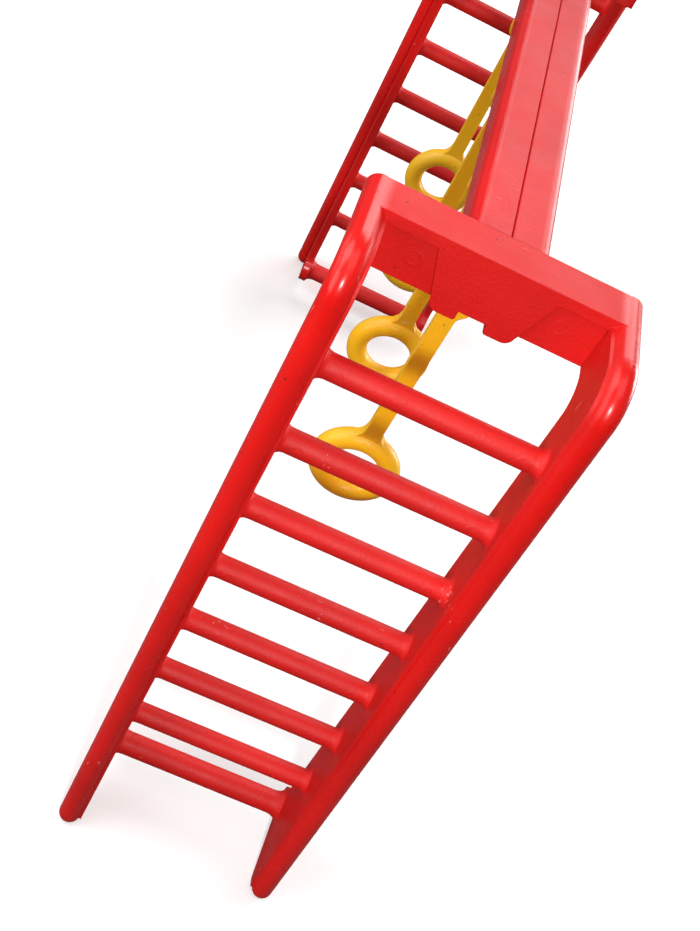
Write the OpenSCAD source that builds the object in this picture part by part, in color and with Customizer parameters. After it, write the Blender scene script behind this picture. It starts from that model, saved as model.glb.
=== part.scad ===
// Toy playground playset: two moulded ladder ends, a two-shell overhead beam
// and a row of hanging gym rings that swing along the beam.
// Millimetres, +Z up, origin on the ground midway between the two ladder ends.
// The beam runs along X, the rungs along Y.

/* [Ladder ends] */
// distance from one rung to the next, along the ladder
rung_pitch = 20; // [17:0.5:23]
// rung diameter
rung_d = 5.3; // [4:0.1:6.5]
// how much the rungs grow in radius where they meet the rails
rung_flare = 1.3; // [0.4:0.1:1.6]
// clear width between the two side rails at the top rung
rail_gap = 45; // [36:1:60]
// how far the ladder leans out of plumb, degrees
lean = 4.7; // [0:0.1:9]
// diameter of the round bead along the outside of each rail
bead_d = 5.54; // [4.6:0.02:7]
// bead axis in front of the rungs, at the top rung
bead_out_top = 3.6; // [3:0.1:8]
// bead axis in front of the rungs, at the foot
bead_out_foot = 11.9; // [8:0.1:15]
// bead axis outside the rail's inner face
bead_side = 3.25; // [2.6:0.1:3.6]
// how far each rail splays outwards towards its foot, degrees
splay = 0.44; // [0.2:0.02:0.8]
// back edge of the flat rail web behind the rungs
web_back = 7.4; // [5:0.1:10]
// thickness of the flat rail web
web_t = 2.6; // [2:0.1:3.4]
// length of the ladder from the top rung to the end of the foot
foot_u = 154.5; // [150:0.5:172]
// bend radius of the bead over the shoulder
shoulder_r = 8; // [7:0.5:12]

/* [Bottom bar] */
// diameter of the thicker round bar that ties the two feet together
bar_d = 6.3; // [5:0.1:8]
// its axis above the end of the foot, measured along the ladder
bar_up = 10.9; // [9:0.1:14]
// its axis, inwards from the line of the rungs
bar_w = 6; // [3:0.1:7]
// how much it grows in radius where it meets the rails
bar_flare = 1.8; // [0.6:0.1:2]

/* [Crown] */
// height of the crown's top face over the top rung
crown_top = 24.9; // [22:0.1:28]
// height of the crown
crown_h = 13.2; // [11:0.1:15]
// front edge of the crown's top face, inwards from the top rung
crown_front = 15.3; // [13:0.1:17]
// depth of the crown's top face
crown_deep = 9.4; // [8:0.1:12]
// depth of the two recesses in the front panel
recess = 1; // [0.6:0.1:2]
// wall thickness of the crown
crown_wall = 2.6; // [2:0.1:3]
// width of the raised middle panel at its top
key_top = 24; // [18:0.5:30]
// width of the raised middle panel at its bottom
key_low = 17.4; // [12:0.2:22]
// how far its two tabs hang below the crown
tab_drop = 2.2; // [1:0.1:4]
// gap between the two tabs
tab_gap = 5.8; // [3:0.1:8]

/* [Beam] */
// distance between the two crowns
beam_len = 154.6; // [150:0.2:190]
// beam width over both shells
beam_w = 16.8; // [15.2:0.2:20]
// depth of the beam's outer sides
side_h = 8; // [5:0.5:11]
// wall thickness of the shells
beam_wall = 1.8; // [1.4:0.1:2.2]
// thickness of the middle keel, both shells together
keel_t = 4.5; // [4:0.1:5.6]
// depth of the keel below the beam's top
keel_h = 16.9; // [15:0.1:17.5]
// round-over of the beam's top edges
beam_round = 2.6; // [1.8:0.1:3.2]
// gap left between the two shells at the seam
seam = 0.12; // [0.06:0.02:0.2]

/* [Ring hangers] */
// spacing of the four hangers
hanger_pitch = 43.7; // [40:0.1:46]
// how far the row of hangers sits towards the far end
hanger_shift = 2.5; // [0:0.1:4]
// outer diameter of the ring
ring_d = 22.6; // [18:0.2:24]
// thickness of the ring's round bar
ring_bar = 5.4; // [4:0.1:6.4]
// width of the flat strip
strip_w = 4; // [3.4:0.1:5.4]
// thickness of the flat strip and fork
strip_t = 2.8; // [2:0.1:3.6]
// thickness of each fork prong
prong_t = 1.3; // [1.1:0.1:2.2]
// from the pivot down to the crotch of the fork
fork_deep = 21.3; // [18:0.1:27]
// from the pivot down to the centre of the ring
drop = 76.5; // [66:0.5:80]
// from the beam's top down to the pivots
pivot_down = 7.9; // [7:0.1:9]
// diameter of the pivot pins
pin_d = 3; // [2.4:0.1:3.4]

/* [Fits] */
// radial play of the pivot pins in the keel
pin_play = 0.06; // [0.03:0.01:0.1]
// play between each prong and the keel
prong_play = 0.3; // [0.25:0.05:0.5]
// play of the beam's tongue in the crown, all round
tongue_play = 0.15; // [0.1:0.05:0.3]
// radial play of the locating pegs
peg_play = 0.06; // [0.03:0.01:0.1]

/* [Hidden] */
$fn = 64;
RED = [0.80, 0.06, 0.04];
RED2 = [0.76, 0.05, 0.05];
YELLOW = [0.93, 0.66, 0.08];
rung_n = 7;
bead_r = bead_d / 2;
bar_u = foot_u - bar_up;
half_gap = rail_gap / 2;
foot_flat = 0.5;
// bead's crest ends up 0.15 over the crown's top face
bead_proud = -0.05;
// height of the top rung, with the cut feet on the ground
rung1_z = (foot_u * cos(lean) - bead_out_foot * sin(lean)) * cos(splay)
    - (half_gap + bead_side) * sin(splay) + bead_r - foot_flat;
crown_back = crown_front + crown_deep;
// x of the top rung from the middle of the object
rung1_x = beam_len / 2 + crown_back;
crown_low = crown_top - crown_h;
top_z = rung1_z + crown_top;
pivot_z = top_z - pivot_down;
keel_half = keel_t / 2;
prong_in = keel_half + prong_play;
ring_c = (ring_d - ring_bar) / 2;
side_in = beam_w / 2 - beam_wall;
tongue_w = side_in - 0.4;
// tongue stops a little short of the front panel's back
tongue_len = crown_deep - recess - crown_wall - 0.3;
tongue_top = crown_top - crown_wall - tongue_play;
tongue_low = crown_top - side_h + 0.6;
peg_d = 2.6;
peg_down = 12.6;
peg_x = [for (i = [-1:1]) hanger_shift + i * hanger_pitch];
hanger_x = [for (i = [-1.5:1:1.5]) hanger_shift + i * hanger_pitch];
// bores and cuts start this far outside what they cut
over = keel_t;
// round end of each prong, round its pin
prong_d = pin_d + 2.8;

// point u down the ladder and w inwards from the top rung, as [x, z]
function lp(u, w) = [-u * sin(lean) + w * cos(lean),
    -u * cos(lean) - w * sin(lean)];
// straight run of the bead: a point on it and its slope from plumb
b_hi = lp(0, -bead_out_top);
b_lo = lp(foot_u, -bead_out_foot);
b_ang = atan2(b_hi[0] - b_lo[0], b_hi[1] - b_lo[1]);
b_z = crown_top - bead_r + bead_proud;
b_t = (b_z - shoulder_r + shoulder_r * sin(b_ang) - b_hi[1]) / cos(b_ang);
b_cx = b_hi[0] + b_t * sin(b_ang) + shoulder_r * cos(b_ang);
b_cz = b_z - shoulder_r;
b_end = [b_cx - shoulder_r * cos(b_ang), b_cz + shoulder_r * sin(b_ang)];
function arc(cx, cy, r, a0, a1, n) = [for (i = [0:n])
    [cx + r * cos(a0 + (a1 - a0) * i / n),
    cy + r * sin(a0 + (a1 - a0) * i / n)]];

function bend(a, b, c, n) = [for (i = [0:n])
    a * pow(1 - i / n, 2) + b * 2 * (i / n) * (1 - i / n)
    + c * pow(i / n, 2)];
// distance of a rail's inner face from the middle, at height z
function inner(z) = half_gap / cos(splay) - z * tan(splay);

// x-z profile laid in a plane across Y, from y0, thick t
module wall_xz(y0, t) {
    translate([0, y0 + t, 0]) rotate([90, 0, 0])
        linear_extrude(height = t) children();
}

// y-z profile laid in a plane across X, from x0, thick t
module wall_yz(x0, t) {
    translate([x0, 0, 0]) rotate([90, 0, 90])
        linear_extrude(height = t) children();
}

// round bar along Y between the rails, flared by f over a length g
module bar_y(p, d, f, g) {
    e = inner(p[1]);
    half = [for (i = [0:4]) [d / 2 + f - f * sin(22.5 * i),
        e - g + g * cos(22.5 * i)]];
    back = [for (i = [4:-1:0]) [half[i][0], -half[i][1]]];
    translate([p[0], 0, p[1]]) rotate([90, 0, 0]) rotate_extrude()
        polygon(concat([[0, -e - 1.2], [0, e + 1.2],
        [d / 2 + f, e + 1.2]], half, back,
        [[d / 2 + f, -e - 1.2]]));
}

// outline of the flat web: bead line outside, back edge inside, a
// round lobe behind the bottom bar and a sloping edge out to the foot
module web_outline() {
    corner_r = 6.5;
    fo = 1;
    e0 = lp(0, web_back);
    // back edge meets the crown's underside through a round corner
    zc = crown_low - corner_r;
    xb = e0[0] + (zc - e0[1]) * tan(lean);
    toe = b_lo + [0.72, -0.55] * bead_r;
    c = lp(bar_u, bar_w);
    lobe = bar_d / 2 + bar_flare + 0.15;
    d = toe - c;
    low = atan2(d[1], d[0]) + acos(lobe / norm(d));
    polygon(concat(
        [[crown_back, crown_low], [crown_back, b_z + fo]],
        arc(b_cx, b_cz, shoulder_r + fo, 90, 180 - b_ang, 12),
        [b_lo + fo * [-cos(b_ang), sin(b_ang)], toe],
        arc(c[0], c[1], lobe, low, 50, 12),
        bend(c + lobe * [cos(50), sin(50)] + [-0.02, 0.02],
        lp(bar_u - 1.05 * lobe, web_back),
        lp(bar_u - 1.65 * lobe, web_back), 5),
        arc(xb + corner_r, zc, corner_r, 180, 90, 8)));
}

// one side rail, s = 1 on the left, -1 on the right
module rail(s) rotate([s * splay, 0, 0]) {
    // flat web behind the bead
    wall_xz(s > 0 ? half_gap : -half_gap - web_t, web_t) web_outline();
    yb = s * (half_gap + bead_side);
    run = norm(b_end - b_lo);
    lap = 0.4;
    translate([0, yb, 0]) {
        // straight bead from the foot up to the shoulder
        translate([b_lo[0], 0, b_lo[1]]) rotate([0, b_ang, 0])
            cylinder(d = bead_d, h = run + lap);
        // rounded foot
        translate([b_lo[0], 0, b_lo[1]]) sphere(d = bead_d);
        // shoulder bend, a hair fuller than the straights that enter it
        translate([b_cx, 0, b_cz]) rotate([90, 0, 0])
            rotate([0, 0, 90]) rotate_extrude(angle = 90 - b_ang)
            translate([shoulder_r, 0]) circle(d = bead_d + 0.04);
        // run along the edge of the top face
        translate([b_cx - lap, 0, b_z]) rotate([0, 90, 0])
            cylinder(d = bead_d, h = crown_back - b_cx + lap - 0.05);
    }
}

// raised middle panel with its two tabs, as a y-z outline
module key_outline() {
    h = key_low / 2;
    g = tab_gap / 2;
    z0 = crown_low - tab_drop;
    z1 = crown_top - crown_wall;
    r = tab_drop - 0.1;
    half = concat([[g, crown_low], [g, z0 + 0.4], [g + 0.4, z0]],
        arc(h - r, z0 + r, r, -90, 0, 6),
        [[h + 0.1, crown_low], [key_top / 2, z1],
        [key_top / 2, z1 + 0.8]]);
    n = len(half) - 1;
    polygon(concat([for (i = [n:-1:0]) [-half[i][0], half[i][1]]],
        half));
}

module end_frame_local() {
    difference() {
        union() {
            rail(1);
            rail(-1);
            // seven round rungs
            for (i = [0:rung_n - 1])
                bar_y(lp(i * rung_pitch, 0), rung_d, rung_flare, 1.8);
            // thicker bottom bar
            bar_y(lp(bar_u, bar_w), bar_d, bar_flare, bar_d / 2);
            // crown: top plate, front panel, back wall
            translate([crown_front, -half_gap - 2.8,
                crown_top - crown_wall])
                cube([crown_deep, rail_gap + 5.6, crown_wall]);
            translate([crown_front + recess, -half_gap - 1.2, crown_low])
                cube([crown_wall, rail_gap + 2.4, crown_h - 0.5]);
            translate([crown_back - crown_wall, -half_gap - 1.2,
                crown_low])
                cube([crown_wall, rail_gap + 2.4, crown_h - 0.5]);
            // raised middle panel
            wall_yz(crown_front, recess + crown_wall) key_outline();
        }
        // window in the back wall for the beam's two tongues
        translate([crown_back - crown_wall - 1,
            -tongue_w - tongue_play, tongue_low - tongue_play])
            cube([crown_wall + 2, 2 * (tongue_w + tongue_play),
                tongue_top - tongue_low + 2 * tongue_play]);
        // feet cut flat on the ground
        translate([b_lo[0] - bead_d, -rail_gap, -rung1_z - bead_d])
            cube([foot_u, 2 * rail_gap, bead_d]);
    }
}

module near_end_frame() {
    color(RED) translate([-rung1_x, 0, rung1_z]) end_frame_local();
}

module far_end_frame() {
    color(RED) rotate([0, 0, 180]) translate([-rung1_x, 0, rung1_z])
        end_frame_local();
}

// section of the y > 0 shell, z measured from the beam's top
module shell_section() {
    o = beam_w / 2;
    ri = beam_round - beam_wall + 0.8;
    polygon(concat(
        [[seam / 2, -beam_wall], [seam / 2, -0.25],
         [seam / 2 + 0.2, 0]],
        arc(o - beam_round, -beam_round, beam_round, 90, 0, 8),
        [[o - 0.15, -side_h], [side_in + 0.1, -side_h]],
        arc(side_in - ri, -beam_wall - ri, ri, 0, 90, 5)));
}

// keel web of one shell from the side: its ends rise to the crowns
module keel_outline(half) {
    polygon([[-half, -beam_wall + 0.4], [-half, -crown_h + 1],
        [-half + 6, -keel_h], [half - 6, -keel_h],
        [half, -crown_h + 1], [half, -beam_wall + 0.4]]);
}

// solid end wall that carries the tongue
module end_wall() {
    polygon([[seam / 2, -beam_wall + 0.4], [side_in + 0.3,
        -beam_wall - 1], [side_in + 0.3, -side_h + 0.6],
        [seam / 2, -side_h + 0.6]]);
}

// section of the tongue that enters the crown
module tongue_section() {
    t = 1.7;
    zt = tongue_top - crown_top;
    zl = tongue_low - crown_top;
    polygon([[seam / 2, zl], [seam / 2, zt], [tongue_w, zt],
        [tongue_w, zl], [tongue_w - t, zl], [tongue_w - t, zt - t],
        [keel_half, zt - t], [keel_half, zl]]);
}

module shell_half(pegs) {
    half = beam_len / 2 - 0.05;
    difference() {
        union() {
            translate([0, 0, top_z])
                wall_yz(-half, 2 * half) shell_section();
            translate([0, 0, top_z])
                wall_xz(seam / 2, keel_half - seam / 2)
                keel_outline(half);
            for (e = [-1, 1]) {
                translate([0, 0, top_z])
                    wall_yz(e > 0 ? half - 1.6 : -half, 1.6) end_wall();
                // tongue into the crown, with a catch behind its wall
                translate([0, 0, top_z])
                    wall_yz(e > 0 ? half - 1 : -half - tongue_len,
                    tongue_len + 1) tongue_section();
                xc = e * (half + crown_wall + 0.25);
                yc = tongue_w - 0.2;
                zc = top_z + tongue_low - crown_top + 1.2;
                translate([0, 0, zc]) linear_extrude(height = 4.5)
                    polygon([[xc, yc], [xc, yc + 0.85],
                    [xc + e * 0.4, yc + 0.85], [xc + e * 2.4, yc + 0.2],
                    [xc + e * 2.4, yc]]);
            }
            if (pegs) for (x = peg_x)
                translate([x, keel_half - 0.1, top_z - peg_down])
                    rotate([90, 0, 0])
                    cylinder(d = peg_d, h = 2 * keel_half - 0.5);
        }
        // bores for the hanger pins
        for (x = hanger_x)
            translate([x, over, pivot_z]) rotate([90, 0, 0])
                cylinder(d = pin_d + 2 * pin_play, h = 2 * over);
        if (!pegs) for (x = peg_x)
            translate([x, over, top_z - peg_down]) rotate([90, 0, 0])
                cylinder(d = peg_d + 2 * peg_play, h = 2 * over);
    }
}

module beam_left_shell() {
    color(RED2) shell_half(false);
}

module beam_right_shell() {
    color(RED2) mirror([0, 1, 0]) shell_half(true);
}

// half outline of fork and strip, y against z below the pivot
module fork_outline() {
    o = prong_in + prong_t;
    s = strip_w / 2;
    f = -fork_deep;
    b = -drop + ring_d / 2 - 1.5;
    p = [[0, f], [prong_in - 1.1, f], [prong_in - 0.3, f + 0.35],
        [prong_in, f + 1.2], [prong_in, 0], [o, 0], [o, f - 0.2],
        [o - 0.2, f - 1], [o - 0.7, f - 1.5], [s + 0.6, f - 2],
        [s + 0.15, f - 2.7], [s, f - 3.6], [s, b + 4],
        [s + 0.35, b + 2.2],
        [s + 1.3, b + 0.8], [s + 2.6, b - 0.2], [s + 2.6, b - 1.2],
        [0, b - 1.2]];
    polygon(p);
    mirror([1, 0]) polygon(p);
}

module ring_hanger(i) {
    color(YELLOW) translate([hanger_x[i - 1], 0, pivot_z]) {
        difference() {
            union() {
                wall_yz(-strip_t / 2, strip_t) fork_outline();
                // prong ends round the pivot
                for (s = [-1, 1])
                    translate([0, s * (prong_in + prong_t / 2), 0])
                        rotate([90, 0, 0])
                        cylinder(d = prong_d, h = prong_t, center = true);
            }
        }
        // inward pivot pins
        for (s = [-1, 1])
            translate([0, s * (prong_in / 2 + 0.5), 0])
                rotate([90, 0, 0])
                cylinder(d = pin_d, h = prong_in - 0.4, center = true);
        // gym ring
        translate([0, 0, -drop]) rotate([0, 90, 0]) rotate_extrude()
            translate([ring_c, 0]) circle(d = ring_bar);
    }
}

module ring_hanger_1() { ring_hanger(1); }
module ring_hanger_2() { ring_hanger(2); }
module ring_hanger_3() { ring_hanger(3); }
module ring_hanger_4() { ring_hanger(4); }

near_end_frame();
far_end_frame();
beam_left_shell();
beam_right_shell();
ring_hanger_1();
ring_hanger_2();
ring_hanger_3();
ring_hanger_4();
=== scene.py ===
from math import cos, radians

import bmesh
import bpy
from mathutils import Matrix, Vector

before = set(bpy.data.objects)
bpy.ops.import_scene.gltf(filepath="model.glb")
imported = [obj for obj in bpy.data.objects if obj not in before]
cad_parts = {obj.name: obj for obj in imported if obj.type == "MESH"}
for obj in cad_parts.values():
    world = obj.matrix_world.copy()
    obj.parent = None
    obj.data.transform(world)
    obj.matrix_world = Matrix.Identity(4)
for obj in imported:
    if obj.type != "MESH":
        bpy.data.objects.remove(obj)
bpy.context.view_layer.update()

# Camera
#
# The photograph's own viewpoint, close above the near ladder end and
# looking down along the beam. Its place, turn and focal length were
# recovered from the rungs and rails, in the same frame as the CAD.
MM = 0.001
VIEW_FROM = Vector((-260.43, 37.19, 294.55)) * MM
# degrees: turned about the upright, raised from straight down, and rolled
VIEW_PAN, VIEW_TILT, VIEW_ROLL = -100.487, 45.117, 31.787
FOCAL_PX, PHOTO_WIDTH_PX = 1175.7, 700
SENSOR_WIDTH = 36
CLIP_NEAR, CLIP_FAR = 0.01, 20

lens = bpy.data.cameras.new("photo_camera")
lens.sensor_fit = "HORIZONTAL"
lens.sensor_width = SENSOR_WIDTH
lens.lens = FOCAL_PX / PHOTO_WIDTH_PX * SENSOR_WIDTH
lens.clip_start = CLIP_NEAR
lens.clip_end = CLIP_FAR
camera = bpy.data.objects.new("photo_camera", lens)
bpy.context.scene.collection.objects.link(camera)
camera.matrix_world = (Matrix.Translation(VIEW_FROM)
                       @ Matrix.Rotation(radians(VIEW_PAN), 4, "Z")
                       @ Matrix.Rotation(radians(VIEW_TILT), 4, "X")
                       @ Matrix.Rotation(radians(VIEW_ROLL), 4, "Z"))
bpy.context.scene.camera = camera

# Ladder ends
#
# Each end is one injection moulding in red polypropylene: two round-edged
# rails, seven rungs, a thicker bottom bar and the crown. The mould was
# polished for the rails and grained for everything between them.
RAIL_INNER_Y = 24.4 * MM
POLISH_FADE = 1.6 * MM
# each pattern's size, and the two levels of its noise between which it
# sets in
CLOUD, CLOUD_LEVELS = 30 * MM, (0.35, 0.65)
SCRATCH, SCRATCH_LEVELS = 7.7 * MM, (0.75, 0.785)
CHIP, CHIP_CLUSTER, CHIP_LEVELS = 0.87 * MM, 17 * MM, (1.4, 1.46)
SPECK, SPECK_LEVELS = 1.1 * MM, (0.85, 0.89)
HAZE, HAZE_LEVELS = 7 * MM, (0.3, 0.7)
SCRATCH_SQUEEZE = 12
SCRATCH_TURNS = ((0.5, 0.3, 0.5), (-0.8, -0.5, -0.8))
SPECK_COLOUR, SPECK_SHARE = "#4A0806", 0.6
# what wear adds: its share of the worn colour, and its roughness
WEAR_SHARE, WEAR_ROUGHENS = 0.45, 0.4
HAZE_SHINES, HAZE_ROUGHENS = -0.03, 0.06
# the relief: how wide each form is, how strongly it shows, how high it is
ROUNDING = 0.25 * MM
WAVE, WAVE_STRENGTH, WAVE_HEIGHT = 5 * MM, 0.25, 0.06 * MM
GRAIN, GRAIN_STRENGTH, GRAIN_HEIGHT = 0.7 * MM, 0.8, 0.11 * MM
WEAR_STRENGTH, WEAR_DEPTH = 0.5, 0.03 * MM
PLASTIC_IOR = 1.49
# light that goes into the red: its share, how far each of red, green and
# blue goes, and the depth of one unit of that
LIGHT_IN_RED = (0.08, (1.0, 0.2, 0.1), 1.0 * MM)


def linear(hex_colour):
    """A colour written as sRGB hex, as the linear RGBA that shaders take."""
    channels = [int(hex_colour[i:i + 2], 16) / 255 for i in (1, 3, 5)]
    return tuple(c / 12.92 if c <= 0.04045 else ((c + 0.055) / 1.055) ** 2.4
                 for c in channels) + (1.0,)


def add(tree, kind, inputs, out=0, **settings):
    """Adds a node with its settings and returns one output. An input, by
    its name or number, is a value, a hex colour or a link. Of Map Range,
    1 and 2 are the range that comes in, 3 and 4 the one that goes out."""
    node = tree.nodes.new(kind)
    for name, value in settings.items():
        setattr(node, name, value)
    for socket, value in inputs.items():
        if isinstance(value, bpy.types.NodeSocket):
            tree.links.new(value, node.inputs[socket])
        elif isinstance(value, str):
            node.inputs[socket].default_value = linear(value)
        else:
            node.inputs[socket].default_value = value
    return node.outputs[out]


def wear_marks(tree, spot):
    """1 where the plastic is scratched or chipped, 0 elsewhere."""
    # short scratches, up to 4 mm long: noise squeezed along the beam's
    # length, twice over and turned so that the two differ
    scratches = []
    for turn in SCRATCH_TURNS:
        squeezed = add(tree, "ShaderNodeMapping",
                       {0: spot, 2: turn, 3: (SCRATCH_SQUEEZE, 1, 1)})
        line = add(tree, "ShaderNodeTexNoise",
                   {"Vector": squeezed, "Scale": 1 / SCRATCH, "Detail": 2})
        scratches.append(add(tree, "ShaderNodeMapRange",
                             {0: line, 1: SCRATCH_LEVELS[0],
                              2: SCRATCH_LEVELS[1]}))
    scratch = add(tree, "ShaderNodeMath",
                  {0: scratches[0], 1: scratches[1]}, operation="MAXIMUM")
    # chips of 0.5 mm in clusters, drawn as coarse as the render needs
    chip = add(tree, "ShaderNodeTexNoise",
               {"Vector": spot, "Scale": 1 / CHIP, "Detail": 1})
    cluster = add(tree, "ShaderNodeTexNoise",
                  {"Vector": spot, "Scale": 1 / CHIP_CLUSTER, "Detail": 1})
    chip = add(tree, "ShaderNodeMath", {0: chip, 1: cluster},
               operation="ADD")
    chip = add(tree, "ShaderNodeMapRange",
               {0: chip, 1: CHIP_LEVELS[0], 2: CHIP_LEVELS[1]})
    return add(tree, "ShaderNodeMath", {0: scratch, 1: chip},
               operation="MAXIMUM")


def clouded_pigment(tree, here, spot, pigment, thin_spot):
    """Colour that isn't mixed quite evenly, with a few dark specks of
    0.4 mm."""
    cloud = add(tree, "ShaderNodeTexNoise",
                {"Vector": spot, "Scale": 1 / CLOUD, "Detail": 3})
    cloud = add(tree, "ShaderNodeMapRange",
                {0: cloud, 1: CLOUD_LEVELS[0], 2: CLOUD_LEVELS[1]})
    colour = add(tree, "ShaderNodeMix",
                 {0: cloud, 6: pigment, 7: thin_spot}, 2, data_type="RGBA")
    speck = add(tree, "ShaderNodeTexNoise",
                {"Vector": here, "Scale": 1 / SPECK, "Detail": 0})
    speck = add(tree, "ShaderNodeMapRange",
                {0: speck, 1: SPECK_LEVELS[0], 2: SPECK_LEVELS[1],
                 4: SPECK_SHARE})
    return add(tree, "ShaderNodeMix",
               {0: speck, 6: colour, 7: SPECK_COLOUR}, 2, data_type="RGBA")


def mould_relief(tree, spot, satin, wear):
    """The surface that the mould gave, and the wear cut into it."""
    relief = add(tree, "ShaderNodeBevel", {0: ROUNDING}, samples=8)
    # the slight waves in which the plastic flowed into the mould
    wave = add(tree, "ShaderNodeTexNoise",
               {"Vector": spot, "Scale": 1 / WAVE, "Detail": 1})
    relief = add(tree, "ShaderNodeBump",
                 {"Height": wave, "Normal": relief,
                  "Strength": WAVE_STRENGTH, "Distance": WAVE_HEIGHT})
    # the mould's grain, drawn coarser than the real one so that it shows
    grain = add(tree, "ShaderNodeTexNoise",
                {"Vector": spot, "Scale": 1 / GRAIN, "Detail": 2})
    grain = add(tree, "ShaderNodeMath", {0: grain, 1: satin},
                operation="MULTIPLY")
    relief = add(tree, "ShaderNodeBump",
                 {"Height": grain, "Normal": relief,
                  "Strength": GRAIN_STRENGTH, "Distance": GRAIN_HEIGHT})
    return add(tree, "ShaderNodeBump",
               {"Height": wear, "Normal": relief,
                "Strength": WEAR_STRENGTH, "Distance": WEAR_DEPTH},
               invert=True)


def moulded_plastic(name, pigment, thin_spot, worn, offset, grained,
                    polish=None, light_in=LIGHT_IN_RED):
    """Injection-moulded polypropylene. Offset is its place in the
    patterns, grained its roughness as the mould's grain leaves it, and
    polish the distance from the middle past which the mould was polished
    instead, with the roughness there."""
    material = bpy.data.materials.new(name)
    material.use_nodes = True
    tree = material.node_tree
    shader = tree.nodes["Principled BSDF"].inputs
    here = add(tree, "ShaderNodeTexCoord", {}, "Object")
    spot = add(tree, "ShaderNodeMapping", {0: here, 1: (offset,) * 3})

    wear = wear_marks(tree, spot)
    paler = add(tree, "ShaderNodeMapRange", {0: wear, 4: WEAR_SHARE})
    colour = clouded_pigment(tree, here, spot, pigment, thin_spot)
    colour = add(tree, "ShaderNodeMix", {0: paler, 6: colour, 7: worn}, 2,
                 data_type="RGBA")
    tree.links.new(colour, shader["Base Color"])

    satin, rough = 1.0, grained
    if polish:
        edge, shine = polish
        apart = add(tree, "ShaderNodeSeparateXYZ", {0: here}, "Y")
        apart = add(tree, "ShaderNodeMath", {0: apart},
                    operation="ABSOLUTE")
        satin = add(tree, "ShaderNodeMapRange",
                    {0: apart, 1: edge - POLISH_FADE, 2: edge, 3: 1.0,
                     4: 0.0})
        rough = add(tree, "ShaderNodeMapRange",
                    {0: satin, 3: shine, 4: grained})
    haze = add(tree, "ShaderNodeTexNoise",
               {"Vector": spot, "Scale": 1 / HAZE, "Detail": 4})
    haze = add(tree, "ShaderNodeMapRange",
               {0: haze, 1: HAZE_LEVELS[0], 2: HAZE_LEVELS[1],
                3: HAZE_SHINES, 4: HAZE_ROUGHENS})
    rough = add(tree, "ShaderNodeMath", {0: rough, 1: haze},
                operation="ADD")
    rough = add(tree, "ShaderNodeMath",
                {0: paler, 1: WEAR_ROUGHENS, 2: rough},
                operation="MULTIPLY_ADD")
    tree.links.new(rough, shader["Roughness"])

    tree.links.new(mould_relief(tree, spot, satin, wear), shader["Normal"])
    shader["IOR"].default_value = PLASTIC_IOR
    share, reach, depth = light_in
    shader["Subsurface Weight"].default_value = share
    shader["Subsurface Radius"].default_value = reach
    shader["Subsurface Scale"].default_value = depth
    return material


def dress(material, *pieces):
    """Gives CAD pieces this material in place of their plain one."""
    for piece in pieces:
        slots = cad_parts[piece].data.materials
        slots.clear()
        slots.append(material)


# The faint round marks that the ejector pins leave: one near each end of
# each rung, and one on each side of the crown. The ladders lean 4.7 degrees.
LEAN = 4.7
TOP_RUNG_Z = 155.073 * MM
RUNG_PITCH = 20 * MM * cos(radians(LEAN))
ABOVE_RUNGS_Z = TOP_RUNG_Z + 5 * MM
RUNG_PIN_Y = 18.6 * MM
CROWN_PIN_Y, CROWN_PIN_Z = 14.9 * MM, 172.5 * MM
PIN_RADIUS = 1.5 * MM
PIN_LINE, PIN_LINE_FADE = 0.05 * MM, 0.2 * MM
PIN_STRENGTH, PIN_HEIGHT = 0.6, 0.07 * MM


def press_pin_marks(tree):
    """Raises the pins' rings on the relief that is there."""
    here = add(tree, "ShaderNodeTexCoord", {}, "Object")
    across = add(tree, "ShaderNodeSeparateXYZ", {0: here}, "Y")
    across = add(tree, "ShaderNodeMath", {0: across}, operation="ABSOLUTE")
    up = add(tree, "ShaderNodeSeparateXYZ", {0: here}, "Z")
    # how far above or below the nearest rung
    nearest = add(tree, "ShaderNodeMath",
                  {0: up, 1: TOP_RUNG_Z + RUNG_PITCH / 2},
                  operation="SUBTRACT")
    nearest = add(tree, "ShaderNodeMath", {0: nearest, 1: RUNG_PITCH},
                  operation="FLOORED_MODULO")
    nearest = add(tree, "ShaderNodeMath", {0: nearest, 1: RUNG_PITCH / 2},
                  operation="SUBTRACT")
    marks = []
    for height, pin_y, pin_z in ((nearest, RUNG_PIN_Y, 0.0),
                                 (up, CROWN_PIN_Y, CROWN_PIN_Z)):
        away = add(tree, "ShaderNodeCombineXYZ", {0: across, 1: height})
        away = add(tree, "ShaderNodeVectorMath",
                   {0: away, 1: (pin_y, pin_z, 0)}, "Value",
                   operation="DISTANCE")
        away = add(tree, "ShaderNodeMath", {0: away, 1: PIN_RADIUS},
                   operation="SUBTRACT")
        away = add(tree, "ShaderNodeMath", {0: away}, operation="ABSOLUTE")
        marks.append(add(tree, "ShaderNodeMapRange",
                         {0: away, 1: PIN_LINE,
                          2: PIN_LINE + PIN_LINE_FADE, 3: 1.0, 4: 0.0}))
    on_rungs = add(tree, "ShaderNodeMath", {0: up, 1: ABOVE_RUNGS_Z},
                   operation="LESS_THAN")
    rings = add(tree, "ShaderNodeMath",
                {0: marks[0], 1: on_rungs, 2: marks[1]},
                operation="MULTIPLY_ADD")
    normal = tree.nodes["Principled BSDF"].inputs["Normal"]
    pressed = add(tree, "ShaderNodeBump",
                  {"Height": rings, "Normal": normal.links[0].from_socket,
                   "Strength": PIN_STRENGTH, "Distance": PIN_HEIGHT})
    tree.links.new(pressed, normal)


# Red polypropylene, injection moulded: a deep saturated red whose flat
# faces turn pink under the light
end_red = moulded_plastic("moulded_red_polypropylene", "#E0120C", "#CE0E0A",
                          "#F6A49C", offset=0.11, grained=0.56,
                          polish=(RAIL_INNER_Y, 0.24))
press_pin_marks(end_red.node_tree)
dress(end_red, "near_end_frame", "far_end_frame")

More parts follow.
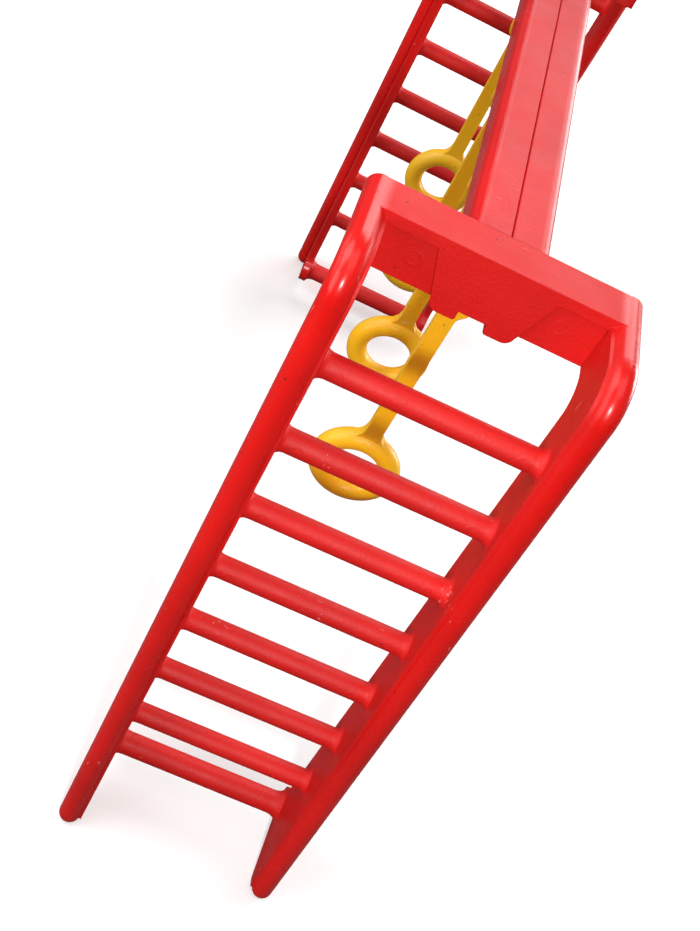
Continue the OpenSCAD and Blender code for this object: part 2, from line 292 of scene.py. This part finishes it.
# Beam
#
# Two shells moulded in another shot of the same plastic, a touch bluer,
# pushed together on pegs so that a fine dark seam runs along the top.
# The top is grained between its polished edges.
BEAM_POLISH_Y = 7.2 * MM

beam_red = moulded_plastic("moulded_red_beam_plastic", "#DE1214", "#CA0E12",
                           "#F8B4B0", offset=0.37, grained=0.52,
                           polish=(BEAM_POLISH_Y, 0.22))
dress(beam_red, "beam_left_shell", "beam_right_shell")

# Ring hangers
#
# Fork, strip and ring are one moulding in yellow polypropylene, hung by
# the fork's pins in the keel's bores. Light goes a millimetre or two into
# the yellow, deeper than into the red, which warms the shaded sides.
LIGHT_IN_YELLOW = (0.3, (1.0, 0.4, 0.06), 1.8 * MM)

yellow = moulded_plastic("moulded_yellow_polypropylene", "#FFC61E",
                         "#FAB814", "#FFE9A8", offset=0.73, grained=0.34,
                         light_in=LIGHT_IN_YELLOW)
dress(yellow, "ring_hanger_1", "ring_hanger_2", "ring_hanger_3",
      "ring_hanger_4")

# Table
#
# A plain pale table. The camera sees it white with the toy's soft shadow
# on it; to the toy it is a grey cloth, because the undersides and the
# insides of the rails are dark in the photograph.
TABLE_SIZE = 6.0
CLOTH_GREY, CLOTH_ROUGHNESS = "#505050", 0.8
WHITE, LIT_WHITE = "#FFFFFF", "#E8E8E8"
# the camera's table glows a little under the toy and more where the lamps
# fall off, up to full white at this distance
GLOW_NEAR, GLOW_FAR, GLOW_REACH = 0.2, 1.0, 0.9
# how much of the white is mirrored: little, because all of it turned the
# dark sides of the rails pale
MIRRORED_SHARE = 0.03


def sees_white(tree):
    """1 for rays straight from the camera or through a clear thing, and
    the mirrored share for rays off a glossy one."""
    rays = add(tree, "ShaderNodeLightPath", {}).node.outputs
    seen = add(tree, "ShaderNodeMath",
               {0: rays["Is Camera Ray"], 1: rays["Is Transmission Ray"]},
               operation="MAXIMUM")
    return add(tree, "ShaderNodeMath",
               {0: rays["Is Glossy Ray"], 1: MIRRORED_SHARE, 2: seen},
               operation="MULTIPLY_ADD", use_clamp=True)


def pale_cloth():
    """White with the toy's shadow to the camera, grey to the toy."""
    cloth = bpy.data.materials.new("pale_table_cloth")
    cloth.use_nodes = True
    tree = cloth.node_tree
    woven = tree.nodes["Principled BSDF"]
    woven.inputs["Base Color"].default_value = linear(CLOTH_GREY)
    woven.inputs["Roughness"].default_value = CLOTH_ROUGHNESS
    away = add(tree, "ShaderNodeTexCoord", {}, "Object")
    away = add(tree, "ShaderNodeVectorMath", {0: away}, "Value",
               operation="LENGTH")
    level = add(tree, "ShaderNodeMapRange",
                {0: away, 2: GLOW_REACH, 3: GLOW_NEAR, 4: GLOW_FAR},
                interpolation_type="SMOOTHERSTEP")
    glow = add(tree, "ShaderNodeEmission",
               {"Color": WHITE, "Strength": level})
    lit = add(tree, "ShaderNodeBsdfDiffuse", {"Color": LIT_WHITE})
    white = add(tree, "ShaderNodeAddShader", {0: glow, 1: lit})
    both = add(tree, "ShaderNodeMixShader",
               {0: sees_white(tree), 1: woven.outputs[0], 2: white})
    tree.links.new(both, tree.nodes["Material Output"].inputs["Surface"])
    return cloth


mesh = bpy.data.meshes.new("table")
sheet = bmesh.new()
bmesh.ops.create_grid(sheet, x_segments=1, y_segments=1,
                      size=TABLE_SIZE / 2)
sheet.to_mesh(mesh)
sheet.free()
table = bpy.data.objects.new("table", mesh)
bpy.context.scene.collection.objects.link(table)
mesh.materials.append(pale_cloth())

# Lights
#
# Soft studio boxes round the table. The photograph's rungs throw their
# shadows 30 degrees down on the yellow strips, so the key is small and
# stands in front at that height. The others are large.
AIR_ON_TOY = 0.2


def softbox(name, place, aim, size, watts):
    """A rectangular lamp; place, aim and size in millimetres."""
    data = bpy.data.lights.new(name, "AREA")
    data.shape = "RECTANGLE"
    data.size, data.size_y = size[0] * MM, size[1] * MM
    data.energy = watts
    box = bpy.data.objects.new(name, data)
    bpy.context.scene.collection.objects.link(box)
    box.location = Vector(place) * MM
    box.rotation_euler = (Vector(aim) - Vector(place)).to_track_quat(
        "-Z", "Y").to_euler()
    box.visible_camera = False


# in front of the near ladder, on the crown's front and the rungs
softbox("front_key", (-372, 5, 311), (-60, 0, 130), (28, 28), 0.7)
softbox("fill_box", (-330, 420, 260), (-20, 0, 110), (300, 300), 0.8)
# past the far ladder, mirrored by the top faces and the beam's right edge
softbox("back_box", (420, -110, 520), (-100, 0, 175), (460, 300), 1.55)
softbox("far_box", (900, -440, 190), (0, 0, 170), (440, 380), 1.6)
# beside the toy, on the sides of the rails and the beam
softbox("right_box", (330, -600, 185), (-60, 0, 130), (340, 300), 3.2)
softbox("left_box", (160, 680, 280), (-20, 0, 80), (620, 420), 0.8)
# overhead, on the rungs, the rings and the far ladder
softbox("top_box", (-240, -60, 720), (-20, 0, 100), (520, 420), 0.85)
softbox("high_box", (-60, 360, 520), (60, 0, 70), (350, 350), 1.3)

# The air: dim on the toy, white where the camera looks into it
studio = bpy.data.worlds.new("studio")
studio.use_nodes = True
bpy.context.scene.world = studio
air = studio.node_tree
dim = air.nodes["Background"]
dim.inputs["Color"].default_value = linear(WHITE)
dim.inputs["Strength"].default_value = AIR_ON_TOY
bright = add(air, "ShaderNodeBackground", {"Color": WHITE, "Strength": 1.0})
both = add(air, "ShaderNodeMixShader",
           {0: sees_white(air), 1: dim.outputs[0], 2: bright})
air.links.new(both, air.nodes["World Output"].inputs["Surface"])
bpy.context.scene.view_settings.view_transform = "Standard"
